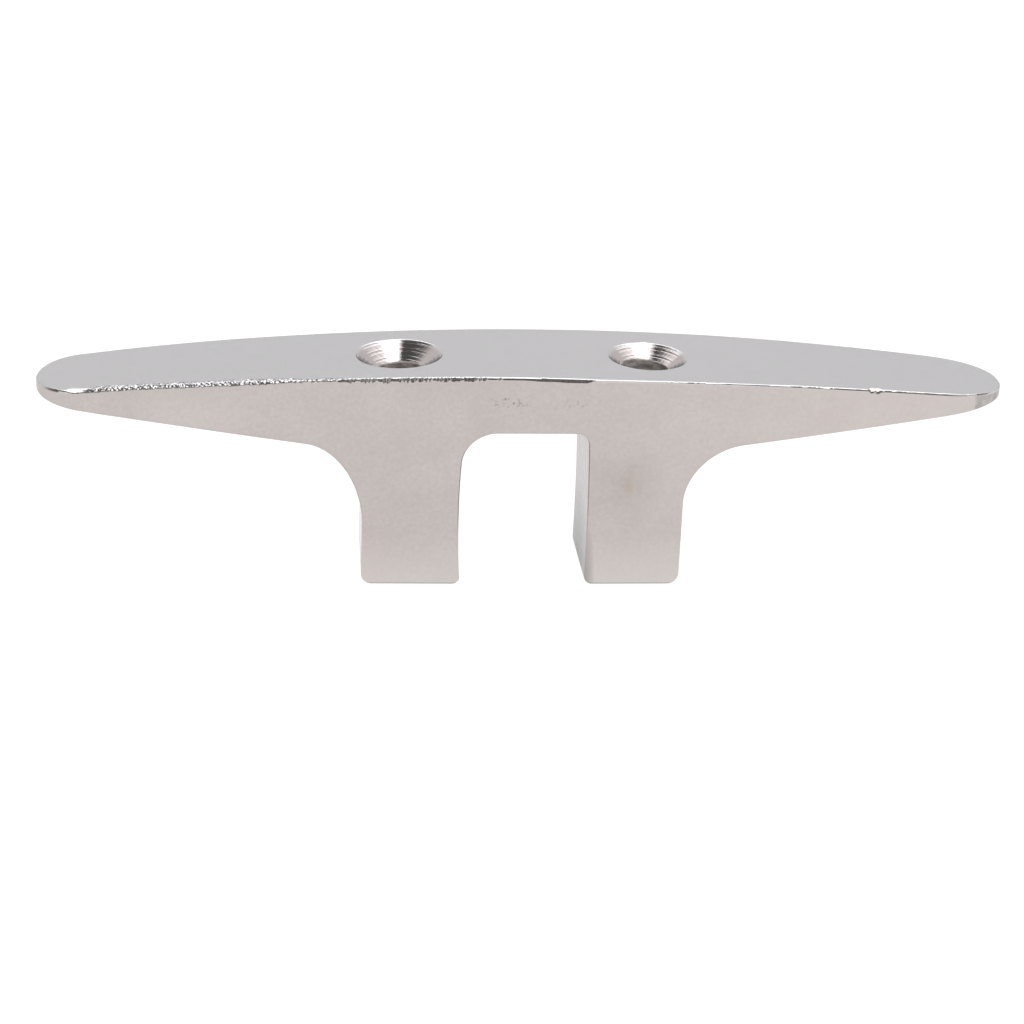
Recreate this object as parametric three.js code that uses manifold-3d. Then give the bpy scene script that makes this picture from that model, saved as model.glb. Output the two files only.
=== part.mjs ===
// A one-piece horn cleat for a small boat, cast in stainless steel and polished.
// Millimetres, +Z up. The origin is at the middle of the length, on the plane the two feet stand on.
// +X runs along the horns, and -Y is the flat side with the crisp top edge.
// The casting is where three shapes meet: a long tapered bar, the side outline with its legs and slot,
// and the two countersunk screw holes that are drilled down through the legs.

import * as THREE from "three";
import { mergeVertices } from "three/addons/utils/BufferGeometryUtils.js";
import Module from "manifold-3d";

// Whole casting
const HALF_LENGTH = 75;
const HEIGHT = 35.6;
const CROWN_DROP = 4.2; // how far the top falls from the middle to a tip
const CROWN_POWER = 1.97;

// Bar: half widths at the top edge in the middle, and at the foot, which the draft makes narrower
const TOP_HALF_WIDTH = 11.95;
const FOOT_HALF_WIDTH = 8.2;
const TAPER = 0.345; // share of the width lost towards a tip
const TAPER_POWER = 2.22;
const FRONT_EDGE_RADIUS = 0.5;
const BACK_EDGE_RADIUS = 1.1;
const NOSE_HALF_FLAT = 0.9; // half width of the small flat left at the very end of a tip

// Each end of the casting was finished by hand, so the two sides differ a little.
const LEFT = {
  tipLength: 6.8, // length of the rounded end
  tipPower: 2.13, // 2 is an ellipse, more is squarer
  legOuter: 24.9,
  rootRadius: 10.7, // between the leg and the underside of the horn
  undersideAtLeg: 22.65, // height of the horn's underside, carried on to the leg's outer face
  undersideAtTip: 29.3,
  footRadius: 1.6,
};
const RIGHT = {
  tipLength: 10.5,
  tipPower: 2.4,
  legOuter: 25,
  rootRadius: 8.8,
  undersideAtLeg: 22.6,
  undersideAtTip: 29.45,
  footRadius: 1.8,
};
const NOSE_RADIUS = 1.1; // lower edge of the tip
const LEG_DRAFT = 0.6; // how much a leg's outer face leans in from front to back

// Slot between the legs. Its ceiling corners are rounder at the back than at the front.
const SLOT_HALF_WIDTH = 9.75;
const SLOT_HEIGHT = 25.85;
const SLOT_LEFT_RADIUS = { front: 4.9, back: 7 };
const SLOT_RIGHT_RADIUS = { front: 2.4, back: 7 };
const SLOT_FOOT_RADIUS = 1;

// Screw holes for 1/4 in (M6) countersunk screws
const HOLE_SPACING = 38.1;
const HOLE_OFFSET = -0.5; // both holes sit a little towards the flat side
const HOLE_RADIUS = 3.65;
const LEFT_COUNTERSINK = { rimRadius: 6.74, depth: 2.7 };
const RIGHT_COUNTERSINK = { rimRadius: 6.4, depth: 2.2 };

// How finely curves are cut into facets
const STATIONS = 84;
const ARC_POINTS = 10;
const HOLE_SEGMENTS = 48;
const SLOT_STEPS = 6;

const CLEAR = 5; // how far cutting shapes run past the casting

const wasm = await Module();
wasm.setup();

function toSolid(geometry) {
  geometry.deleteAttribute("normal");
  geometry.deleteAttribute("uv");
  const merged = mergeVertices(geometry, 1e-4);
  const vertProperties = new Float32Array(merged.attributes.position.array);
  const triVerts = new Uint32Array(merged.index.array);
  return new wasm.Manifold(new wasm.Mesh({ numProp: 3, vertProperties, triVerts }));
}

function toGeometry(solid) {
  const mesh = solid.getMesh();
  const geometry = new THREE.BufferGeometry();
  geometry.setAttribute("position", new THREE.BufferAttribute(mesh.vertProperties, 3));
  geometry.setIndex(new THREE.BufferAttribute(mesh.triVerts, 1));
  return geometry;
}

// A closed outline with round corners. Each corner is [x, y, radius], in order around the outline.
function roundedShape(corners) {
  const shape = new THREE.Shape();
  corners.forEach(([x, y, radius], i) => {
    const corner = new THREE.Vector2(x, y);
    const before = new THREE.Vector2(...corners.at(i - 1)).sub(corner).normalize();
    const after = new THREE.Vector2(...corners[(i + 1) % corners.length]).sub(corner).normalize();
    if (radius === 0) {
      i === 0 ? shape.moveTo(x, y) : shape.lineTo(x, y);
      return;
    }
    const halfAngle = Math.acos(before.dot(after)) / 2;
    const start = before.clone().multiplyScalar(radius / Math.tan(halfAngle)).add(corner);
    const bisector = before.clone().add(after).normalize();
    const centre = bisector.multiplyScalar(radius / Math.sin(halfAngle)).add(corner);
    const startAngle = start.clone().sub(centre).angle();
    const turn = Math.sign(after.cross(before)) * (Math.PI - 2 * halfAngle);
    i === 0 ? shape.moveTo(start.x, start.y) : shape.lineTo(start.x, start.y);
    shape.absarc(centre.x, centre.y, radius, startAngle, startAngle + turn, turn < 0);
  });
  return shape;
}

function side(x) {
  return x < 0 ? LEFT : RIGHT;
}

// Height that the crowned top has lost at x.
function crownDrop(x) {
  return CROWN_DROP * Math.pow(Math.abs(x) / HALF_LENGTH, CROWN_POWER);
}

// Half width of the bar at its top edge.
function planHalfWidth(x) {
  const { tipLength, tipPower } = side(x);
  const along = Math.abs(x) / HALF_LENGTH;
  const tapered = TOP_HALF_WIDTH * (1 - TAPER * Math.pow(along, TAPER_POWER));
  const intoTip = Math.max(0, 1 - (HALF_LENGTH - Math.abs(x)) / tipLength);
  const rounding = Math.pow(Math.max(0, 1 - Math.pow(intoTip, tipPower)), 1 / tipPower);
  return Math.max(NOSE_HALF_FLAT, tapered * rounding);
}

// The bar: its cross-section is swept along the length, narrowed by the plan and lowered by the crown.
function barSolid() {
  const draft = (TOP_HALF_WIDTH - FOOT_HALF_WIDTH) / HEIGHT;
  const bottomHalf = FOOT_HALF_WIDTH - CLEAR * draft;
  const section = roundedShape([
    [-bottomHalf, -CLEAR, 0],
    [bottomHalf, -CLEAR, 0],
    [TOP_HALF_WIDTH, HEIGHT, BACK_EDGE_RADIUS],
    [-TOP_HALF_WIDTH, HEIGHT, FRONT_EDGE_RADIUS],
  ]);
  const geometry = new THREE.ExtrudeGeometry(section, {
    depth: 2,
    steps: STATIONS,
    curveSegments: ARC_POINTS / 2,
    bevelEnabled: false,
  });
  const position = geometry.attributes.position;
  for (let i = 0; i < position.count; i++) {
    // Stations crowd together towards the tips, where the plan turns fastest.
    const x = HALF_LENGTH * Math.sin((position.getZ(i) - 1) * (Math.PI / 2));
    const y = position.getX(i) * (planHalfWidth(x) / TOP_HALF_WIDTH);
    const z = position.getY(i) - crownDrop(x);
    position.setXYZ(i, x, y, z);
  }
  return toSolid(geometry);
}

// An outline in X and Z, swept across the whole width in Y.
function acrossY(shape, halfDepth, steps) {
  const geometry = new THREE.ExtrudeGeometry(shape, {
    depth: 2 * halfDepth,
    steps,
    curveSegments: ARC_POINTS,
    bevelEnabled: false,
  });
  return geometry.translate(0, 0, -halfDepth).rotateX(Math.PI / 2);
}

// Side outline without the slot: two legs as one block, and the undersides of the horns.
function sideSolid() {
  const outline = roundedShape([
    [-LEFT.legOuter, 0, LEFT.footRadius],
    [RIGHT.legOuter, 0, RIGHT.footRadius],
    [RIGHT.legOuter, RIGHT.undersideAtLeg, RIGHT.rootRadius],
    [HALF_LENGTH, RIGHT.undersideAtTip, NOSE_RADIUS],
    [HALF_LENGTH, HEIGHT + CLEAR, 0],
    [-HALF_LENGTH, HEIGHT + CLEAR, 0],
    [-HALF_LENGTH, LEFT.undersideAtTip, NOSE_RADIUS],
    [-LEFT.legOuter, LEFT.undersideAtLeg, LEFT.rootRadius],
  ]);
  const geometry = acrossY(outline, TOP_HALF_WIDTH + CLEAR, 1);
  const position = geometry.attributes.position;
  for (let i = 0; i < position.count; i++) {
    // The outer faces lean in towards the back, which lets the casting leave its mould.
    const x = position.getX(i);
    const lean = LEG_DRAFT * THREE.MathUtils.clamp(0.5 + position.getY(i) / (2 * TOP_HALF_WIDTH), 0, 1);
    if (Math.abs(x) < HALF_LENGTH) position.setX(i, x - Math.sign(x) * lean);
  }
  return toSolid(geometry);
}

// The slot, drawn with its front corner radii. Each corner then grows to its back radius.
function slotSolid() {
  const halfDepth = TOP_HALF_WIDTH + CLEAR;
  const outline = roundedShape([
    [-SLOT_HALF_WIDTH, -CLEAR, 0],
    [SLOT_HALF_WIDTH, -CLEAR, 0],
    [SLOT_HALF_WIDTH, SLOT_HEIGHT, SLOT_RIGHT_RADIUS.front],
    [-SLOT_HALF_WIDTH, SLOT_HEIGHT, SLOT_LEFT_RADIUS.front],
  ]);
  const geometry = acrossY(outline, halfDepth, SLOT_STEPS);
  const position = geometry.attributes.position;
  for (let i = 0; i < position.count; i++) {
    const x = position.getX(i);
    const y = position.getY(i);
    const z = position.getZ(i);
    const towardsBack = THREE.MathUtils.clamp(0.5 + y / (2 * TOP_HALF_WIDTH), 0, 1);
    const { front, back } = x < 0 ? SLOT_LEFT_RADIUS : SLOT_RIGHT_RADIUS;
    const scale = THREE.MathUtils.lerp(1, back / front, towardsBack);
    const fromWall = SLOT_HALF_WIDTH - Math.abs(x);
    const fromCeiling = SLOT_HEIGHT - z;
    if (fromWall > front || fromCeiling > front) continue;
    position.setX(i, Math.sign(x) * (SLOT_HALF_WIDTH - fromWall * scale));
    position.setZ(i, SLOT_HEIGHT - fromCeiling * scale);
  }
  return toSolid(geometry);
}

// The bottom corners of a leg on the slot side, as a bar that is taken off along Y.
function slotFootRound(sign) {
  const wall = sign * SLOT_HALF_WIDTH;
  const r = SLOT_FOOT_RADIUS;
  const shape = new THREE.Shape();
  shape.moveTo(wall - sign * r, -r);
  shape.lineTo(wall + sign * r, -r);
  shape.lineTo(wall + sign * r, 0);
  shape.absarc(wall + sign * r, r, r, -Math.PI / 2, sign > 0 ? -Math.PI : 0, sign > 0);
  shape.lineTo(wall - sign * r, r);
  return toSolid(acrossY(shape, TOP_HALF_WIDTH + CLEAR, 1));
}

// A screw hole with its countersink, down through the top and one leg.
function screwHoleSolid(x, { rimRadius, depth }) {
  const top = HEIGHT - crownDrop(x);
  const slope = (rimRadius - HOLE_RADIUS) / depth;
  const profile = [
    new THREE.Vector2(0, -CLEAR),
    new THREE.Vector2(HOLE_RADIUS, -CLEAR),
    new THREE.Vector2(HOLE_RADIUS, top - depth),
    new THREE.Vector2(rimRadius + slope * CLEAR, top + CLEAR),
    new THREE.Vector2(0, top + CLEAR),
  ];
  const drill = new THREE.LatheGeometry(profile, HOLE_SEGMENTS);
  return toSolid(drill.rotateX(Math.PI / 2).translate(x, HOLE_OFFSET, 0));
}

function cleatBody() {
  const solid = barSolid()
    .intersect(sideSolid())
    .subtract(slotSolid())
    .subtract(slotFootRound(-1))
    .subtract(slotFootRound(1))
    .subtract(screwHoleSolid(-HOLE_SPACING / 2, LEFT_COUNTERSINK))
    .subtract(screwHoleSolid(HOLE_SPACING / 2, RIGHT_COUNTERSINK));
  const steel = new THREE.MeshStandardMaterial({ color: 0xc9c4c3, roughness: 0.28, metalness: 1 });
  const mesh = new THREE.Mesh(toGeometry(solid), steel);
  mesh.name = "cleat_body";
  return mesh;
}

const cleat = new THREE.Group();
cleat.name = "horn_cleat";
cleat.add(cleatBody());

export default cleat;
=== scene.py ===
"""A polished stainless steel horn cleat on a pale studio floor.

The cleat is one casting. Its surface is described by one distance function: a tapered bar, cut to the
side outline of legs and horns, less the slot and the two screw holes, with every edge rounded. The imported
solid is remeshed, drawn onto that surface, and refined where the surface bends, so that the rounds, the
rough cast edge, the nicks and the turned rings in the countersinks are all in the mesh.
"""

import math

import bpy
import numpy as np
from mathutils import Matrix, Vector


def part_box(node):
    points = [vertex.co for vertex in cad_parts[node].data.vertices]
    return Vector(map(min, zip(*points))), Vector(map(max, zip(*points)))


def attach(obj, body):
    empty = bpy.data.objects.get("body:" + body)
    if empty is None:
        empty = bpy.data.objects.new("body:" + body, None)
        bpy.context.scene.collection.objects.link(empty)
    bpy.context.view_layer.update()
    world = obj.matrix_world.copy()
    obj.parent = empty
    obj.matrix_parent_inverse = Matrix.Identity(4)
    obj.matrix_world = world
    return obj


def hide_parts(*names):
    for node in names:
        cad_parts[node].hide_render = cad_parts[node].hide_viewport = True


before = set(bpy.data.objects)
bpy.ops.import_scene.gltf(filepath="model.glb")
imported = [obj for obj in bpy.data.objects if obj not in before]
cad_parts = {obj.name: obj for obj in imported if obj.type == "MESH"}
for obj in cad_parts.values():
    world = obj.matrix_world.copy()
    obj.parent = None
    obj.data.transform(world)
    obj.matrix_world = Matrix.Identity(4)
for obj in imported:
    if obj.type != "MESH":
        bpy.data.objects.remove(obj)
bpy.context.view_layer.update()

NODE = "cleat_body"
MM = 0.001

# ---- Driving dimensions, in millimetres ---------------------------------------------------------------

box_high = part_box(NODE)[1]
HALF_LENGTH = box_high.x / MM
HEIGHT = box_high.z / MM
CROWN_DROP = 4.2  # how far the top falls from the middle to a tip
CROWN_POWER = 1.97
TOP_HALF_WIDTH = 11.95
FOOT_HALF_WIDTH = 8.2
TAPER = 0.345  # share of the width lost towards a tip
TAPER_POWER = 2.22
TAPER_END = 1.05  # share of the half length from which the width stays the same


class End:
    """What differs between the left and the right end of the casting, which was finished by hand."""

    def __init__(self, **sizes):
        self.__dict__.update(sizes)


LEFT = End(tip_length=6.8, tip_power=2.13, leg_outer=24.9, root_radius=10.7, root_stretch=1.2,
           under_at_leg=22.64, under_at_tip=29.28, foot_radius=1.6,
           slot_wall=9.37, slot_belly=0.53, belly_height=12.9, slot_foot=0.0, slot_radii=(4.9, 7.0),
           hole_y=-0.2, rim_x=-19.2, rim_radius=6.8, sink_depth=2.75)
RIGHT = End(tip_length=10.5, tip_power=2.41, leg_outer=25.0, root_radius=8.76, root_stretch=0.98,
            under_at_leg=22.61, under_at_tip=29.46, foot_radius=1.8,
            slot_wall=9.66, slot_belly=0.5, belly_height=0.0, slot_foot=0.8, slot_radii=(1.6, 7.0),
            hole_y=-0.45, rim_x=19.35, rim_radius=6.18, sink_depth=1.9)

LEG_DRAFT = 0.6  # a leg's outer face leans in by this from front to back
SLOT_HEIGHT = 25.85
SLOT_FOOT_RADIUS = 1.0
SLOT_FOOT_RADIUS_BACK = 2.6
TOP_LEAN = (0.12, 0.42)  # how far the top leans down to the front, on the left and on the right
LEAN_GROWS = (-8.0, 15.0)  # where along X it changes from one to the other
NOSE_LEAN = 0.15  # and the left nose leans by this much more
NOSE_LEAN_GROWS = (-62.0, -70.0)
HOLE_HALF_SPACING = 19.05
HOLE_RADIUS = 3.65
# The depth, spacing and phase of the rings that the countersinking tool left.
TURNED_RINGS = ((0.007, 0.55, 0.0), (0.004, 0.37, 1.0))

CRISP_EDGE = 0.26  # radius of the front top edge
THIN_EDGE = 0.18  # and its radius on the right
THIN_GROWS = (8.5, 12.0)
BACK_EDGE = 1.2
BACK_EDGE_FADE = 0.6  # share of that radius that is gone at the tips
LOWER_EDGE_FRONT = 0.55  # legs, slot and undersides
LOWER_EDGE_BACK = 1.1
BACK_BLEND = (-3.0, 3.0)  # where along Y the front's edges give way to the back's
RIM_EDGE = 0.06  # lips of the screw holes
FACET_EDGE = 0.04  # along both sides of the narrow facet

NOSE_STEP = 69.8  # where the right nose was ground once more
NOSE_STEP_DEPTH = 0.08
NOSE_STEP_WIDTH = 0.15
NOSE_EDGE_LOSS = 0.6  # share of the edge's radius that went with it
NOSE_EDGE_GROWS = (NOSE_STEP - 0.6, NOSE_STEP)

# The front top edge has two facets: a broad one, where the casting's rough skin was left on it, and a
# narrow one ground under it with a steeper tilt. The broad one is flatter towards the left nose.
CAST_CUT = 0.34
CAST_TILT = math.radians(38)
NOSE_TILT = math.radians(19)
CAST_TILT_GROWS = (-69.0, -65.5)
CAST_ROUND = 0.1
CAST_LIFT = 0.2  # share of the cut by which it is lifted clear outside its band
BEVEL_CUT = 0.24
BEVEL_TILT = math.radians(63)

# Bands along that edge: where each one starts along X, is full, begins to fade, and ends.
CAST_BAND = (-71.4, -69.0, -44.0, -28.0)
SKIN_BAND = (-67.8, -65.5, -40.0, -31.0)
FAINT_SKIN_BAND = (-38.0, -33.0, -30.0, -24.0)
LEFT_NOSE_BAND = (-75.6, -74.3, -71.6, -70.8)
RAGGED_BAND = (-37.0, -25.5, -9.0, -1.0)
SMOOTH_BAND = (-13.0, -9.0, 8.6, 11.2)
FINE_BAND = (16.0, 26.0, 68.0, 69.5)
RIGHT_NOSE_BAND = (NOSE_STEP, NOSE_STEP + 0.4, 71.5, 73.5)

# How much of the cast skin or of the narrow facet's cut each band has.
FAINT_SKIN_SHARE = 0.3
LEFT_NOSE_SHARE = 0.85
RAGGED_SHARE = 1.1
SMOOTH_SHARES = (0.74, 1.2)
SMOOTH_GROWS = (-6.0, 7.0)
FINE_SHARES = (0.46, 0.62)
FINE_GROWS = (28.0, 60.0)
RIGHT_NOSE_SHARE = 0.6

# How far in from the side and down from the top the cast skin is roughest, and how far that spreads.
SKIN_MIDDLE = (0.45, 0.15)
SKIN_SPREAD = (0.7, 0.5)
# And where it is dullest.
DULL_MIDDLE = (0.2, 0.2)
DULL_SPREAD = (0.9, 0.6)

# Layers of noise on the surface. Each has a height, the size of its lumps, and a seed.
POLISHING_WAVES = ((0.03, (17, 11, 9), 3), (0.008, (6, 5, 4), 4))
SKIN_GRIT = ((0.07, (0.45, 0.4, 0.4), 5), (0.11, 0.26, 6))
FACET_TEETH = ((0.04, (0.5, 9.0, 9.0), 8), (0.12, (0.28, 9.0, 9.0), 9))

# Two nicks in the front edge: their places along X, sizes and depths.
NICKS = ((53.2, 0.36, 0.5), (54.2, 0.5, 0.55))
NICKS_MIDDLE = 53.5
# Two small dents in the top: their places in X and Y, how far below the highest point, sizes and depths.
DENTS = ((7.8, -2.7, 0.3, 0.4, 0.05), (12.9, -6.7, 0.4, 0.5, 0.06))

# ---- Noise --------------------------------------------------------------------------------------------


def lattice_value(ix, iy, iz, seed):
    """A repeatable value from -1 to 1 at each point of a whole-number lattice."""
    h = ix * 374761393 + iy * 668265263 + iz * 1442695041 + seed * 974634777
    h = (h ^ (h >> 13)) & 0xFFFFFFFF
    h = (h * 1274126177) & 0xFFFFFFFF
    h = (h ^ (h >> 16)) & 0xFFFF
    return h / 32767.5 - 1.0


def noise(points, size, seed):
    """Smooth noise from -1 to 1, with lumps about size millimetres across. size may differ per axis."""
    q = points / np.asarray(size, float)
    cell = np.floor(q).astype(np.int64)
    t = q - cell
    t = t * t * t * (t * (t * 6 - 15) + 10)
    total = np.zeros(len(points))
    for dx in (0, 1):
        wx = t[:, 0] if dx else 1 - t[:, 0]
        for dy in (0, 1):
            wy = t[:, 1] if dy else 1 - t[:, 1]
            for dz in (0, 1):
                wz = t[:, 2] if dz else 1 - t[:, 2]
                corner = lattice_value(cell[:, 0] + dx, cell[:, 1] + dy, cell[:, 2] + dz, seed)
                total += corner * wx * wy * wz
    return total


def layered(points, layers):
    """Layers of noise, added up."""
    return sum(height * noise(points, size, seed) for height, size, seed in layers)


# ---- The cleat's surface ------------------------------------------------------------------------------


def smoothstep(low, high, value):
    t = np.clip((value - low) / (high - low), 0, 1)
    return t * t * (3 - 2 * t)


def ramp(x, start, end, low, high):
    """Goes smoothly from low at start to high at end."""
    return low + (high - low) * smoothstep(start, end, x)


def between(x, start, full, fade, end):
    """1 from full to fade, falling to 0 at start and at end."""
    return smoothstep(start, full, x) * (1 - smoothstep(fade, end, x))


def round_max(a, b, radius):
    """Where two solids overlap, with a round of that radius along the edge that they share."""
    beyond = np.hypot(np.maximum(a + radius, 0), np.maximum(b + radius, 0))
    return np.minimum(np.maximum(a, b), -radius) + beyond


def round_min(a, b, radius):
    """Two solids joined, with a fillet of that radius in the corner between them."""
    return -round_max(-a, -b, radius)


def by_end(x, name):
    return np.where(x < 0, getattr(LEFT, name), getattr(RIGHT, name))


def crown_drop(x):
    return CROWN_DROP * (np.abs(x) / HALF_LENGTH) ** CROWN_POWER


def top_field(x, y, z):
    """Distance to the crowned top, which leans a little towards the front."""
    lean = ramp(x, *LEAN_GROWS, *TOP_LEAN) + NOSE_LEAN * smoothstep(*NOSE_LEAN_GROWS, x)
    return z - HEIGHT + crown_drop(x) + lean * np.clip(0.5 - y / (2 * TOP_HALF_WIDTH), 0, 1)


LEAST_ACROSS = 1e-6  # keeps the middle line from a power of nothing
LEAST_SIDE_SLOPE = 0.3


def side_field(x, y, z):
    """Distance to the tapered, drafted sides and the rounded tips."""
    along = np.minimum(np.abs(x) / HALF_LENGTH, TAPER_END)
    section_z = z + crown_drop(x)
    section = FOOT_HALF_WIDTH + (TOP_HALF_WIDTH - FOOT_HALF_WIDTH) * section_z / HEIGHT
    half = section * (1 - TAPER * along ** TAPER_POWER)
    length, power = by_end(x, "tip_length"), by_end(x, "tip_power")
    into_tip = np.maximum((np.abs(x) - HALF_LENGTH + length) / length, 0)
    across = np.maximum(np.abs(y) / half, LEAST_ACROSS)
    total = into_tip ** power + across ** power
    reach = total ** (1 / power)
    slope = total ** (1 / power - 1)
    steep = slope * np.hypot(into_tip ** (power - 1) / length, across ** (power - 1) / half)
    return (reach - 1) / np.maximum(steep, LEAST_SIDE_SLOPE / half)


def profile_field(x, y, z):
    """Distance to the side outline: two legs as one block, the undersides of the horns, and the slot."""
    reach = np.abs(x)
    back = np.clip(0.5 + y / (2 * TOP_HALF_WIDTH), 0, 1)
    leg_outer = by_end(x, "leg_outer")
    at_leg, at_tip = by_end(x, "under_at_leg"), by_end(x, "under_at_tip")
    rise = (at_tip - at_leg) / (HALF_LENGTH - leg_outer)
    under = (at_leg + rise * (reach - leg_outer) - z) / np.hypot(1, rise)
    leg = round_max(reach - leg_outer + LEG_DRAFT * back, -z, by_end(x, "foot_radius"))
    stretch = by_end(x, "root_stretch")
    outline = round_min(leg * stretch, under / stretch, by_end(x, "root_radius"))
    middle = by_end(x, "belly_height")
    along = (z - middle) / np.maximum(middle, SLOT_HEIGHT - middle)
    wall = by_end(x, "slot_wall") + by_end(x, "slot_belly") * (1 - along ** 2)
    wall = wall - by_end(x, "slot_foot") * back * np.clip(1 - z / SLOT_HEIGHT, 0, 1) ** 2
    left = LEFT.slot_radii[0] + (LEFT.slot_radii[1] - LEFT.slot_radii[0]) * back
    right = RIGHT.slot_radii[0] + (RIGHT.slot_radii[1] - RIGHT.slot_radii[0]) * back
    slot = round_max(reach - wall, z - SLOT_HEIGHT, np.where(x < 0, left, right))
    foot_radius = SLOT_FOOT_RADIUS + (SLOT_FOOT_RADIUS_BACK - SLOT_FOOT_RADIUS) * back
    return round_max(outline, -slot, foot_radius)


def from_hole(x, y):
    """Distance from the axis of the nearer screw hole."""
    return np.hypot(np.abs(x) - HOLE_HALF_SPACING, y - by_end(x, "hole_y"))


def from_rim(x, y):
    """Distance from the axis of the nearer countersink, which isn't quite on the hole's."""
    return np.hypot(x - by_end(x, "rim_x"), y - by_end(x, "hole_y"))


def hole_field(x, y, z):
    """Distance to a screw hole and its countersink, negative inside. The cone carries turned rings."""
    radial = from_rim(x, y)
    rim, depth = by_end(x, "rim_radius"), by_end(x, "sink_depth")
    slope = (rim - HOLE_RADIUS) / depth
    cone = (radial - rim - slope * top_field(x, y, z)) / np.hypot(1, slope)
    rings = sum(deep * np.sin(radial * 2 * math.pi / gap + phase) for deep, gap, phase in TURNED_RINGS)
    bore = from_hole(x, y) - HOLE_RADIUS
    return np.minimum(bore, cone + rings)


def cast_skin(x):
    """How much of the casting's rough skin is left on the front top edge, from 0 to 1."""
    return np.maximum(between(x, *SKIN_BAND), FAINT_SKIN_SHARE * between(x, *FAINT_SKIN_BAND))


def front_edge_radius(x):
    radius = ramp(x, *THIN_GROWS, CRISP_EDGE, THIN_EDGE)
    return radius * (1 - NOSE_EDGE_LOSS * smoothstep(*NOSE_EDGE_GROWS, x))


def bevel_cut(p):
    """How deep the narrow facet of the front edge is cut, in millimetres. It is ragged towards the left."""
    x = p[:, 0]
    ragged = between(x, *RAGGED_BAND)
    share = np.maximum.reduce([
        LEFT_NOSE_SHARE * between(x, *LEFT_NOSE_BAND),
        RAGGED_SHARE * ragged,
        ramp(x, *SMOOTH_GROWS, *SMOOTH_SHARES) * between(x, *SMOOTH_BAND),
        ramp(x, *FINE_GROWS, *FINE_SHARES) * between(x, *FINE_BAND),
        RIGHT_NOSE_SHARE * between(x, *RIGHT_NOSE_BAND),
    ])
    return BEVEL_CUT * share + ragged * layered(p, FACET_TEETH)


def bar_field(p, side, top, back):
    """Distance to the long bar: its sides and top, with the two facets of the front edge between them."""
    x = p[:, 0]
    front_edge = front_edge_radius(x)
    back_edge = BACK_EDGE * (1 - BACK_EDGE_FADE * (x / HALF_LENGTH) ** 2)
    bar = round_max(side, top, front_edge + (back_edge - front_edge) * back)
    # Both facets are moved far clear of the bar at the back.
    clear = 10 * back
    bevel = side * math.sin(BEVEL_TILT) + top * math.cos(BEVEL_TILT) + bevel_cut(p)
    bar = round_max(bar, bevel - clear, FACET_EDGE)
    cut = CAST_CUT * ((1 + CAST_LIFT) * between(x, *CAST_BAND) - CAST_LIFT)
    tilt = ramp(x, *CAST_TILT_GROWS, NOSE_TILT, CAST_TILT)
    cast = side * np.sin(tilt) + top * np.cos(tilt) + cut
    return round_max(bar, cast - clear, CAST_ROUND)


def near_front_edge(y, side, top, middle, spread):
    """1 along a line just inside the front top edge, fading away from it."""
    inward = (side + middle[0]) / spread[0]
    downward = (top + middle[1]) / spread[1]
    return np.exp(-inward ** 2 - downward ** 2) * (y < 0)


def dent(p, x, y, z, size, depth):
    """A small round dent at a point on the surface."""
    away = ((p - np.array([x, y, z])) ** 2).sum(1) / size ** 2
    return depth * np.exp(-away)


def marks(p):
    """The nicks in the front edge and the dents in the top."""
    edge_y = -TOP_HALF_WIDTH * (1 - TAPER * (NICKS_MIDDLE / HALF_LENGTH) ** TAPER_POWER)
    edge_z = HEIGHT - crown_drop(NICKS_MIDDLE) - TOP_LEAN[1]
    nicks = sum(dent(p, x, edge_y, edge_z, size, depth) for x, size, depth in NICKS)
    return nicks + sum(dent(p, x, y, HEIGHT - down, size, depth) for x, y, down, size, depth in DENTS)


def surface(p):
    """Distance from each point to the finished surface, in millimetres, negative inside."""
    x, y, z = p[:, 0], p[:, 1], p[:, 2]
    back = smoothstep(*BACK_BLEND, y)
    side, top = side_field(x, y, z), top_field(x, y, z)
    # The nose of the right horn was ground once more, which left a faint step across its front.
    side = side + NOSE_STEP_DEPTH * smoothstep(NOSE_STEP, NOSE_STEP + NOSE_STEP_WIDTH, x) * (1 - back)
    lower_edge = LOWER_EDGE_FRONT + (LOWER_EDGE_BACK - LOWER_EDGE_FRONT) * back
    body = round_max(bar_field(p, side, top, back), profile_field(x, y, z), lower_edge)
    body = round_max(body, -hole_field(x, y, z), RIM_EDGE)
    rough = near_front_edge(y, side, top, SKIN_MIDDLE, SKIN_SPREAD) * cast_skin(x)
    grit = rough * layered(p, SKIN_GRIT)
    return body + layered(p, POLISHING_WAVES) + grit + marks(p)


GRADIENT_STEP = 0.01
LEAST_STEEP = 0.05  # the least squared gradient that a move is worked out from
FARTHEST_MOVE = 0.5
TINY = 1e-9  # keeps a vector without length from dividing by nothing


def gradient_of(p):
    """The gradient of the distance at each point, by central differences."""
    gradient = np.empty_like(p)
    for axis in range(3):
        offset = np.zeros(3)
        offset[axis] = GRADIENT_STEP
        gradient[:, axis] = (surface(p + offset) - surface(p - offset)) / (2 * GRADIENT_STEP)
    return gradient


def normal_of(p):
    """The direction that the surface faces at each point."""
    normal = gradient_of(p)
    return normal / (np.linalg.norm(normal, axis=1)[:, None] + TINY)


def onto_surface(p, rounds):
    """Moves each point onto the surface along the gradient."""
    for _ in range(rounds):
        gradient = gradient_of(p)
        steep = np.maximum((gradient ** 2).sum(1), LEAST_STEEP)
        move = np.clip(surface(p) / steep, -FARTHEST_MOVE, FARTHEST_MOVE)
        p = p - gradient * move[:, None]
    return p


# ---- Mesh, in millimetres -----------------------------------------------------------------------------

VOXEL = 1.0
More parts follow.
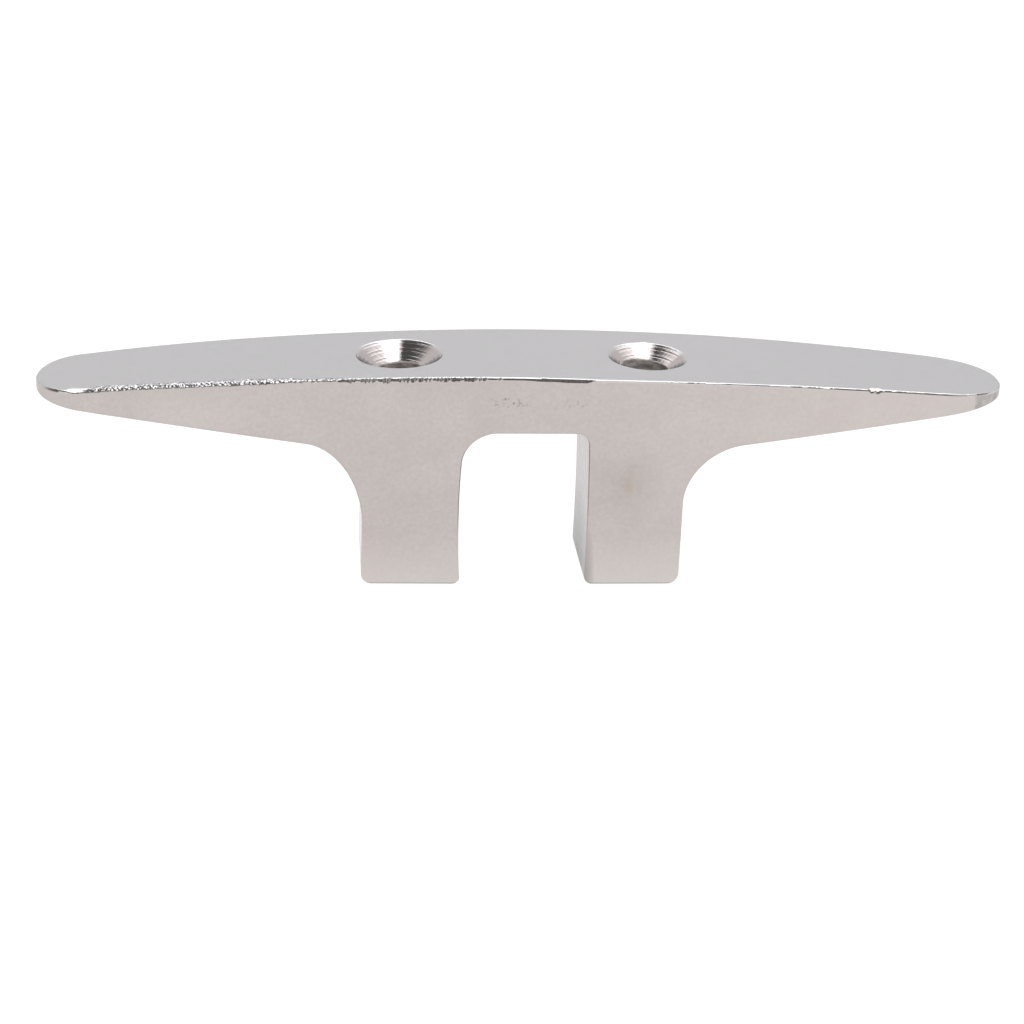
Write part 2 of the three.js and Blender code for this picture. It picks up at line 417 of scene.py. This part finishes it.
# Rounds of refinement: the largest angle between the ends of an edge, in degrees, and its shortest half.
REFINEMENT = ((12, 0.25), (12, 0.12), (15, 0.07))
SHORTEST_AT_BACK = 0.15
BACK_FROM = -2  # where along Y that begins
RELAXING_ROUNDS = 3
RELAXING_SHARE = 0.5  # how far each point goes towards the middle of its neighbours

# How long an edge may be where the surface has fine detail.
LONGEST = 5.0
LONGEST_IN_SINK = 0.28
LONGEST_AT_RIM = 0.14
LONGEST_AT_FRONT = 0.2
LONGEST_ON_FACETS = 0.14
LONGEST_ON_SKIN = 0.17


def remeshed(node, voxel):
    """The node's solid as an even mesh: its vertices in millimetres, and triangles."""
    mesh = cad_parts[node].data.copy()
    mesh.transform(Matrix.Scale(1 / MM, 4))
    scratch = bpy.data.objects.new("scratch", mesh)
    bpy.context.scene.collection.objects.link(scratch)
    remesh = scratch.modifiers.new("Remesh", "REMESH")
    remesh.mode = "VOXEL"
    remesh.voxel_size = voxel
    evaluated = scratch.evaluated_get(bpy.context.evaluated_depsgraph_get())
    even = bpy.data.meshes.new_from_object(evaluated)
    bpy.data.objects.remove(scratch)
    even.calc_loop_triangles()
    points = np.empty(len(even.vertices) * 3)
    even.vertices.foreach_get("co", points)
    triangles = np.empty(len(even.loop_triangles) * 3, np.int32)
    even.loop_triangles.foreach_get("vertices", triangles)
    return points.reshape(-1, 3), triangles.reshape(-1, 3).astype(np.int64)


def edges_of(triangles):
    """Every edge once, and for each triangle the numbers of its three edges: 01, 12 and 20."""
    pairs = np.stack([triangles, np.roll(triangles, -1, 1)], -1).reshape(-1, 2)
    pairs.sort(1)
    key = pairs[:, 0] * (pairs.max() + 1) + pairs[:, 1]
    _, first, number = np.unique(key, return_index=True, return_inverse=True)
    return pairs[first], number.reshape(-1, 3)


def longest_allowed(p):
    """How long an edge of the mesh may be at each point: short where the surface has fine detail."""
    x, y, z = p[:, 0], p[:, 1], p[:, 2]
    side, top = side_field(x, y, z), top_field(x, y, z)
    radial, rim = from_rim(x, y), by_end(x, "rim_radius")
    limit = np.full(len(p), LONGEST)
    limit[(radial > HOLE_RADIUS - 0.1) & (radial < rim + 0.1) & (top > -3)] = LONGEST_IN_SINK
    limit[(np.abs(radial - rim) < 0.15) & (top > -0.3)] = LONGEST_AT_RIM
    front = (side > -0.5) & (top > -0.6) & (y < -1)
    limit[front] = LONGEST_AT_FRONT
    limit[front & (side > -0.32) & (top > -0.38)] = LONGEST_ON_FACETS
    limit[(side > -0.9) & (top > -0.75) & (y < -1) & (x < -2) & (x > -69)] = LONGEST_ON_SKIN
    return limit


def relaxed(points, triangles):
    """Evens out the mesh along the surface."""
    edges, _ = edges_of(triangles)
    for _ in range(RELAXING_ROUNDS):
        total = np.zeros_like(points)
        count = np.zeros(len(points))
        for a, b in ((0, 1), (1, 0)):
            np.add.at(total, edges[:, a], points[edges[:, b]])
            np.add.at(count, edges[:, a], 1)
        move = total / count[:, None] - points
        normal = normal_of(points)
        move -= normal * (move * normal).sum(1)[:, None]
        points = onto_surface(points + RELAXING_SHARE * move, 2)
    return points


def refined(points, triangles, angle, shortest):
    """Splits every edge whose ends face apart by more than angle, in degrees, and every overlong one."""
    edges, of_triangle = edges_of(triangles)
    normal = normal_of(points)
    facing = (normal[edges[:, 0]] * normal[edges[:, 1]]).sum(1)
    length = np.linalg.norm(points[edges[:, 0]] - points[edges[:, 1]], axis=1)
    middles = points[edges].mean(1)
    least = np.where(middles[:, 1] < BACK_FROM, shortest, max(shortest, SHORTEST_AT_BACK))
    split = (facing < math.cos(math.radians(angle))) & (length > 2 * least)
    split |= length > np.maximum(2 * shortest, longest_allowed(middles))
    # A triangle with two split edges has its third split as well, which keeps the triangles even.
    for _ in range(4):
        full = split[of_triangle].sum(1) >= 2
        split[of_triangle[full].ravel()] = True
    middle = np.full(len(edges), -1)
    middle[split] = len(points) + np.arange(split.sum())
    points = np.vstack([points, points[edges[split]].mean(1)])
    count = split[of_triangle].sum(1)
    made = [triangles[count == 0]]
    whole = count == 3
    a, b, c = triangles[whole].T
    ab, bc, ca = middle[of_triangle[whole]].T
    made += [np.stack(t, 1) for t in ((a, ab, ca), (ab, b, bc), (ca, bc, c), (ab, bc, ca))]
    for turn in range(3):
        # One split edge: the triangle is turned so that it is the first, and cut in two.
        one = (count == 1) & split[of_triangle[:, turn]]
        a, b, c = np.roll(triangles[one], -turn, 1).T
        ab = middle[of_triangle[one, turn]]
        made += [np.stack((a, ab, c), 1), np.stack((ab, b, c), 1)]
    two = count == 2
    if two.any():
        made.append(two_split(triangles[two], middle[of_triangle[two]]))
    return onto_surface(points, 3), np.vstack(made)


def two_split(triangles, middles):
    """Triangles with two split edges, each cut in three."""
    made = []
    for turn in range(3):
        here = middles[:, turn] < 0
        a, b, c = np.roll(triangles[here], -turn, 1).T
        _, bc, ca = np.roll(middles[here], -turn, 1).T
        made += [np.stack(t, 1) for t in ((a, b, bc), (a, bc, ca), (ca, bc, c))]
    return np.vstack(made)


def cleat_mesh():
    points, triangles = remeshed(NODE, VOXEL)
    points = relaxed(onto_surface(points, 6), triangles)
    for angle, shortest in REFINEMENT:
        points, triangles = refined(points, triangles, angle, shortest)
    print("cleat mesh:", len(points), "points", len(triangles), "triangles")
    mesh = bpy.data.meshes.new("cleat_body_visual")
    mesh.from_pydata((points * MM).tolist(), [], triangles.tolist())
    mesh.shade_smooth()
    mesh.normals_split_custom_set_from_vertices(normal_of(points).tolist())
    paint_masks(mesh, points)
    return mesh


def paint_masks(mesh, p):
    """Stores where the cast skin, the turned countersinks, the bores and the top are, for the material."""
    x, y, z = p[:, 0], p[:, 1], p[:, 2]
    side, top = side_field(x, y, z), top_field(x, y, z)
    dull = near_front_edge(y, side, top, DULL_MIDDLE, DULL_SPREAD) * cast_skin(x)
    in_hole = (from_rim(x, y) < by_end(x, "rim_radius") - 0.05) & (top < -0.12)
    bore = in_hole & (from_hole(x, y) < HOLE_RADIUS + 0.2)
    on_top = smoothstep(-0.5, -0.2, top)
    masks = {"cast_skin": dull, "turned": in_hole & ~bore, "bore": bore, "top": on_top}
    for name, value in masks.items():
        attribute = mesh.attributes.new(name, "FLOAT", "POINT")
        attribute.data.foreach_set("value", value.astype(np.float32))


# ---- Material -----------------------------------------------------------------------------------------

# The darkest and the palest colour of the top's steel, of the other faces' steel and of the bore walls. The
# other faces are painted darker and warmer than the top, a painted shade for how the light falls on them.
SHADED_SIDE_STEEL = ((0.502, 0.456, 0.439, 1), (0.548, 0.509, 0.494, 1))
TOP_STEEL = ((0.560, 0.552, 0.550, 1), (0.600, 0.592, 0.590, 1))
BORE_WALL = ((0.26, 0.235, 0.22, 1), (0.66, 0.61, 0.58, 1))

FINE_GRAIN = (0.42, 0.40, 0.395, 1)
PALE_RIGHT = (0.60, 0.552, 0.537, 1)
PAINTED_FOOT_LIGHT = (0.62, 0.59, 0.575, 1)
PAINTED_CONTACT_SHADOW = (0.16, 0.16, 0.17, 1)
STROKE = (0.60, 0.585, 0.58, 1)
SMUDGE = (0.33, 0.295, 0.28, 1)
STAIN = (0.42, 0.31, 0.22, 1)
SLOT_SHADE = (0.12, 0.115, 0.12, 1)
NOSE_MOTTLE_AND_SHADE = (0.33, 0.32, 0.315, 1)
PIT = (0.10, 0.09, 0.09, 1)
EDGE_TINT = (0.80, 0.81, 0.83, 1)  # of the steel seen at a shallow angle

# Places in millimetres: the middle of an ellipsoid and its half sizes.
STROKES_AT = ((-51, -10, 28.5), (11, 8, 6))
SMUDGE_AT = ((15.6, -10, 17.5), (7, 6, 8.5))
STAIN_AT = ((16.2, -10, 17.0), (1.0, 4, 2.2))
SLOT_SHADE_AT = ((9.8, 0, 0), (2.2, 16, 14))
# Two patches of fine marks over the slot: each one's place, strength and colour.
FLECKS = (
    (((-3.0, -11.5, 31.3), (4.0, 3, 1.1)), 0.8, (0.22, 0.20, 0.20, 1)),
    (((7.5, -11.5, 31.2), (2.5, 3, 1.2)), 0.4, (0.25, 0.23, 0.23, 1)),
)
STROKE_SPACING = 0.62
RING_SPACING = 0.31


class Graph:
    """A short way to write a node tree."""

    def __init__(self, tree):
        self.tree = tree

    def add(self, kind, inputs=None, **settings):
        node = self.tree.nodes.new(kind)
        for name, value in settings.items():
            setattr(node, name, value)
        for name, value in (inputs or {}).items():
            socket = node.inputs[name]
            if isinstance(value, bpy.types.NodeSocket):
                self.tree.links.new(value, socket)
            else:
                socket.default_value = value
        return node

    def math(self, operation, *values, clamp=False):
        inputs = dict(enumerate(values))
        return self.add("ShaderNodeMath", inputs, operation=operation, use_clamp=clamp).outputs[0]

    def noise(self, vector, scale, detail=2.0, roughness=0.5):
        inputs = {"Vector": vector, "Scale": scale, "Detail": detail, "Roughness": roughness}
        return self.add("ShaderNodeTexNoise", inputs).outputs["Fac"]

    def stretched(self, vector, scale):
        return self.add("ShaderNodeMapping", {"Vector": vector, "Scale": scale}).outputs["Vector"]

    def remap(self, value, low, high, to_low, to_high):
        inputs = {"Value": value, "From Min": low, "From Max": high, "To Min": to_low, "To Max": to_high}
        return self.add("ShaderNodeMapRange", inputs).outputs["Result"]

    def rise(self, value, start, end):
        """0 up to start, 1 from end on."""
        return self.remap(value, start, end, 0.0, 1.0)

    def fall(self, value, start, end):
        """1 up to start, 0 from end on."""
        return self.remap(value, start, end, 1.0, 0.0)

    def band(self, value, start, full, fade, end):
        """1 from full to fade, falling to 0 at start and at end."""
        return self.math("MULTIPLY", self.rise(value, start, full), self.fall(value, fade, end))

    def mix(self, factor, a, b):
        node = self.add("ShaderNodeMix", data_type="RGBA")
        for name, value in (("Factor", factor), ("A", a), ("B", b)):
            socket = next(s for s in node.inputs if s.name == name and s.enabled)
            if isinstance(value, bpy.types.NodeSocket):
                self.tree.links.new(value, socket)
            else:
                socket.default_value = value
        return next(s for s in node.outputs if s.enabled)


def spot(g, place, centre, size):
    """1 at a point given in millimetres, falling evenly to 0 at an ellipsoid of that size round it."""
    inputs = {
        "Vector": place,
        "Location": tuple(-c / s for c, s in zip(centre, size)),
        "Scale": tuple(1 / (s * MM) for s in size),
    }
    moved = g.add("ShaderNodeMapping", inputs).outputs["Vector"]
    return g.add("ShaderNodeTexGradient", {"Vector": moved}, gradient_type="SPHERICAL").outputs["Fac"]


def mask(g, name):
    """One of the masks that paint_masks stored on the mesh."""
    return g.add("ShaderNodeAttribute", attribute_name=name).outputs["Fac"]


def plain_steel(g, place, x, top, side):
    """The steel's colour: the top was polished evenly, and the other faces are slightly clouded and painted
    darker and warmer than the top, a painted shade for how the light falls on them.
    """
    cloud = g.remap(g.noise(place, 130.0, 3.0, 0.6), 0.35, 0.65, -1.0, 1.0)
    cloud = g.math("MULTIPLY", cloud, g.math("MULTIPLY_ADD", side, 0.2, 0.06))
    cloud = g.math("ADD", cloud, 0.5)
    # Painted shade: the other faces get the darker, warmer steel.
    steel = g.mix(top, g.mix(cloud, *SHADED_SIDE_STEEL), g.mix(cloud, *TOP_STEEL))
    fine = g.remap(g.noise(place, 1500.0, 3.0, 0.6), 0.3, 0.7, 0.0, 0.42)
    steel = g.mix(g.math("MULTIPLY", fine, side), steel, FINE_GRAIN)
    # The faces are a little paler towards the right.
    paler = g.math("MULTIPLY", g.remap(x, 5 * MM, 60 * MM, 0.0, 0.5), side)
    return g.mix(paler, steel, PALE_RIGHT)


def ground_marks_and_nose_shade(g, place, x, z, side, steel):
    """Adds the grinding wheel's strokes on the left horn, and on the right nose a mottled grey: partly the
    ground face's own mottle, partly painted reflection of the greyer surroundings that its turned face
    faces.
    """
    bent = g.math("MULTIPLY_ADD", z, 0.35, x)
    stroke = g.math("SINE", g.math("MULTIPLY", bent, 2 * math.pi / (STROKE_SPACING * MM)))
    stroke = g.math("MULTIPLY", stroke, spot(g, place, *STROKES_AT))
    stroke = g.math("MULTIPLY", stroke, g.math("MULTIPLY", side, 0.5))
    steel = g.mix(g.math("ABSOLUTE", stroke), steel, STROKE)
    # Partly painted reflection: the right nose is painted a darker grey for the greyer light that it
    # reflects, with the mottle of its ground face.
    nose = g.math("MULTIPLY", side, g.rise(x, NOSE_STEP * MM, (NOSE_STEP + 0.3) * MM))
    mottle = g.remap(g.noise(place, 500.0, 2.0), 0.35, 0.65, 0.1, 0.85)
    return g.mix(g.math("MULTIPLY", nose, mottle), steel, NOSE_MOTTLE_AND_SHADE)


def stains_and_painted_light(g, place, z, steel):
    """Adds the smudge on the right leg and fine marks over the slot, and painted light and shade: the legs
    painted paler towards the foot, a painted contact shadow along their bottom edge, and painted shade low
    in the slot.
    """
    smudge = g.math("MULTIPLY", spot(g, place, *SMUDGE_AT), g.noise(place, 420.0, 3.0, 0.7))
    steel = g.mix(g.math("MULTIPLY", smudge, 0.62), steel, SMUDGE)
    steel = g.mix(g.math("MULTIPLY", spot(g, place, *STAIN_AT), 0.35), steel, STAIN)
    flecks = g.rise(g.noise(place, 1900.0, 2.0, 0.6), 0.55, 0.67)
    for at, strength, colour in FLECKS:
        patch = g.rise(spot(g, place, *at), 0.0, 0.5)
        steel = g.mix(g.math("MULTIPLY", flecks, g.math("MULTIPLY", patch, strength)), steel, colour)
    # Painted light: the legs are painted paler towards the floor, against the shade of the floor that they
    # reflect there.
    steel = g.mix(g.remap(z, 0.5 * MM, 9.0 * MM, 0.68, 0.0), steel, PAINTED_FOOT_LIGHT)
    # Painted shadow: a thin dark line along the bottom edge of the feet, a contact shadow.
    steel = g.mix(g.remap(z, 0.10 * MM, 0.45 * MM, 0.75, 0.0), steel, PAINTED_CONTACT_SHADOW)
    shade = g.math("MULTIPLY", spot(g, place, *SLOT_SHADE_AT), 1.04, clamp=True)
    return g.mix(shade, steel, SLOT_SHADE)


def pits_and_bores(g, place, skin, top, bore, steel):
    """Makes the steel darker in the pits of the cast skin and down the bores."""
    pits = g.rise(g.noise(place, 2800.0, 2.0, 0.6), 0.50, 0.58)
    pits = g.math("MULTIPLY", pits, g.math("MULTIPLY", g.rise(skin, 0.10, 0.22), top))
    steel = g.mix(g.math("MULTIPLY", pits, 0.85), steel, PIT)
    rust = g.noise(g.stretched(place, (1.0, 1.0, 3.0)), 500.0, 3.0, 0.7)
    return g.mix(bore, steel, g.mix(g.rise(rust, 0.35, 0.65), *BORE_WALL))


def satin(g, place, skin, turned, bore):
    """Roughness: satin, less on the turned cones, more on the cast skin, and dull down the bores."""
    roughness = g.remap(g.noise(place, 1100.0, 3.0), 0.3, 0.7, 0.20, 0.26)
    roughness = g.math("ADD", roughness, g.math("MULTIPLY", turned, -0.13))
    roughness = g.math("ADD", roughness, g.math("MULTIPLY", skin, 0.08))
    return g.math("ADD", roughness, g.math("MULTIPLY", bore, 0.30), clamp=True)


def fine_relief(g, place, parts, turned, bore):
    """Relief: fine polishing lines, and the turning tool's rings in the countersinks and bores."""
    lines = g.noise(g.stretched(place, (0.3, 1.0, 1.0)), 4200.0, 2.0)
    across = g.math("SUBTRACT", g.math("ABSOLUTE", parts["X"]), RIGHT.rim_x * MM)
    along = g.math("ADD", parts["Y"], 0.3 * MM)
    square = g.math("ADD", g.math("MULTIPLY", across, across), g.math("MULTIPLY", along, along))
    radial = g.math("ADD", g.math("SQRT", square), parts["Z"])
    rings = g.math("SINE", g.math("MULTIPLY", radial, 2 * math.pi / (RING_SPACING * MM)))
    rings = g.math("MULTIPLY", rings, g.math("ADD", turned, bore, clamp=True))
    relief = g.math("MULTIPLY_ADD", rings, 0.35, g.math("MULTIPLY", lines, 0.06))
    return g.add("ShaderNodeBump", {"Height": relief, "Strength": 0.55, "Distance": 0.00003})


def polished_steel():
    material = bpy.data.materials.new("polished_stainless")
    material.use_nodes = True
    tree = material.node_tree
    tree.nodes.clear()
    g = Graph(tree)
    place = g.add("ShaderNodeTexCoord").outputs["Object"]
    parts = g.add("ShaderNodeSeparateXYZ", {"Vector": place}).outputs
    x, z = parts["X"], parts["Z"]
    skin, turned, bore, top = (mask(g, name) for name in ("cast_skin", "turned", "bore", "top"))
    side = g.math("SUBTRACT", 1.0, top)

    steel = plain_steel(g, place, x, top, side)
    steel = stains_and_painted_light(g, place, z, steel)
    steel = ground_marks_and_nose_shade(g, place, x, z, side, steel)
    steel = pits_and_bores(g, place, skin, top, bore, steel)
    shader = g.add("ShaderNodeBsdfPrincipled", {
        "Base Color": steel,
        "Metallic": g.math("MULTIPLY_ADD", bore, -0.8, 1.0),
        "Roughness": satin(g, place, skin, turned, bore),
        "Normal": fine_relief(g, place, parts, turned, bore).outputs["Normal"],
        "Specular Tint": EDGE_TINT,
    })
    g.add("ShaderNodeOutputMaterial", {"Surface": shader.outputs["BSDF"]})
    return material


# ---- Studio -------------------------------------------------------------------------------------------

CAMERA_AZIMUTH = -5.2  # degrees, to the left of straight on
CAMERA_ELEVATION = 20.8
CAMERA_ROLL = 1.958
CAMERA_DISTANCE = 690.2  # mm
CAMERA_TARGET = (-0.85, 0.0, 9.035)  # mm
CAMERA_LENS = 154.6
FLOOR_SIZE = 12.0  # m
FLOOR_COLOUR = (0.12, 0.117, 0.115, 1)
FLOOR_GLOW = (1.0, 0.985, 0.975, 1)

TENT_FRONT = (0.97, 0.94, 0.93, 1)
TENT_BACK = (0.94, 0.927, 0.933, 1)
SOFT_BOX = (2.7, 2.7, 2.75, 1)
DARK_SIDES = (0.12, 0.12, 0.125, 1)
OPENING = (0.13, 0.127, 0.125, 1)
BACKDROP = (1.0, 1.0, 1.0, 1)

# Where the tent's parts begin and end, as coordinates of the unit vector towards them.
WALL_BLEND = (-0.6, 0.6)
OVERHEAD = (0.58, 0.66)
BOX_ACROSS = (-0.40, -0.36, 0.50, 0.54)
LEFT_GAP_EDGE = (-0.085, -0.065)
LEFT_GAP_BACK = (0.26, 0.44)
LEFT_GAP_FRONT = (-0.60, -0.54)
RIGHT_GAP_EDGE = (0.52, 0.58)
RIGHT_GAP_ALONG = (-0.60, -0.52, -0.12, -0.04)
OPENING_BACK = (-0.78, -0.66)
GAPS_ABOVE = (0.10, 0.18)


def make_camera():
    data = bpy.data.cameras.new("camera")
    data.lens = CAMERA_LENS
    data.sensor_width = 36.0
    data.clip_start = 0.01
    data.clip_end = 50.0
    camera = bpy.data.objects.new("camera", data)
    bpy.context.scene.collection.objects.link(camera)
    azimuth, elevation = math.radians(CAMERA_AZIMUTH), math.radians(CAMERA_ELEVATION)
    back = Vector((
        math.sin(azimuth) * math.cos(elevation),
        -math.cos(azimuth) * math.cos(elevation),
        math.sin(elevation),
    ))
    roll = Matrix.Rotation(math.radians(CAMERA_ROLL), 3, "Z")
    turn = (-back).to_track_quat("-Z", "Y").to_matrix() @ roll
    place = (Vector(CAMERA_TARGET) + back * CAMERA_DISTANCE) * MM
    camera.matrix_world = Matrix.Translation(place) @ turn.to_4x4()
    bpy.context.scene.camera = camera


def make_floor():
    mesh = bpy.data.meshes.new("floor")
    half = FLOOR_SIZE / 2
    corners = [(-half, -half, 0), (half, -half, 0), (half, half, 0), (-half, half, 0)]
    mesh.from_pydata(corners, [], [(0, 1, 2, 3)])
    floor = bpy.data.objects.new("floor", mesh)
    bpy.context.scene.collection.objects.link(floor)
    material = bpy.data.materials.new("floor")
    material.use_nodes = True
    shader = material.node_tree.nodes["Principled BSDF"]
    shader.inputs["Base Color"].default_value = FLOOR_COLOUR
    # It is lit from below as well, which leaves only the faintest shadow.
    shader.inputs["Emission Color"].default_value = FLOOR_GLOW
    shader.inputs["Emission Strength"].default_value = 1.0
    shader.inputs["Roughness"].default_value = 0.9
    shader.inputs["Specular IOR Level"].default_value = 0.0
    mesh.materials.append(material)


def tent_light(g, x, y, z):
    """The light that comes from a direction, given as a unit vector."""
    light = g.mix(g.rise(y, *WALL_BLEND), TENT_FRONT, TENT_BACK)
    overhead = g.rise(z, *OVERHEAD)
    light = g.mix(g.math("MULTIPLY", g.band(x, *BOX_ACROSS), overhead), light, SOFT_BOX)

    # The left gap stops short of the front, apart from its upper end.
    left = g.math("MULTIPLY", g.fall(x, *LEFT_GAP_EDGE), g.fall(y, *LEFT_GAP_BACK))
    left = g.math("MULTIPLY", left, g.math("MAXIMUM", g.rise(y, *LEFT_GAP_FRONT), overhead))
    right = g.math("MULTIPLY", g.rise(x, *RIGHT_GAP_EDGE), g.band(y, *RIGHT_GAP_ALONG))
    raised = g.rise(z, *GAPS_ABOVE)
    light = g.mix(g.math("MULTIPLY", g.math("MAXIMUM", left, right), raised), light, DARK_SIDES)
    return g.mix(g.math("MULTIPLY", g.fall(y, *OPENING_BACK), raised), light, OPENING)


def make_world():
    """A light tent: pale walls, a soft box overhead, and dark gaps at the sides and round the camera."""
    world = bpy.data.worlds.new("tent")
    bpy.context.scene.world = world
    world.use_nodes = True
    tree = world.node_tree
    tree.nodes.clear()
    g = Graph(tree)
    direction = g.add("ShaderNodeTexCoord").outputs["Generated"]
    split = g.add("ShaderNodeSeparateXYZ", {"Vector": direction}).outputs
    light = tent_light(g, split["X"], split["Y"], split["Z"])
    seen = g.add("ShaderNodeLightPath").outputs["Is Camera Ray"]
    background = g.add("ShaderNodeBackground", {"Color": g.mix(seen, light, BACKDROP), "Strength": 1.0})
    g.add("ShaderNodeOutputWorld", {"Surface": background.outputs["Background"]})
    bpy.context.scene.view_settings.view_transform = "Standard"


def make_cleat():
    mesh = cleat_mesh()
    mesh.materials.append(polished_steel())
    cleat = bpy.data.objects.new("cleat_body_polished", mesh)
    bpy.context.scene.collection.objects.link(cleat)
    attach(cleat, "root")
    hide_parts(NODE)


make_camera()
make_floor()
make_world()
make_cleat()
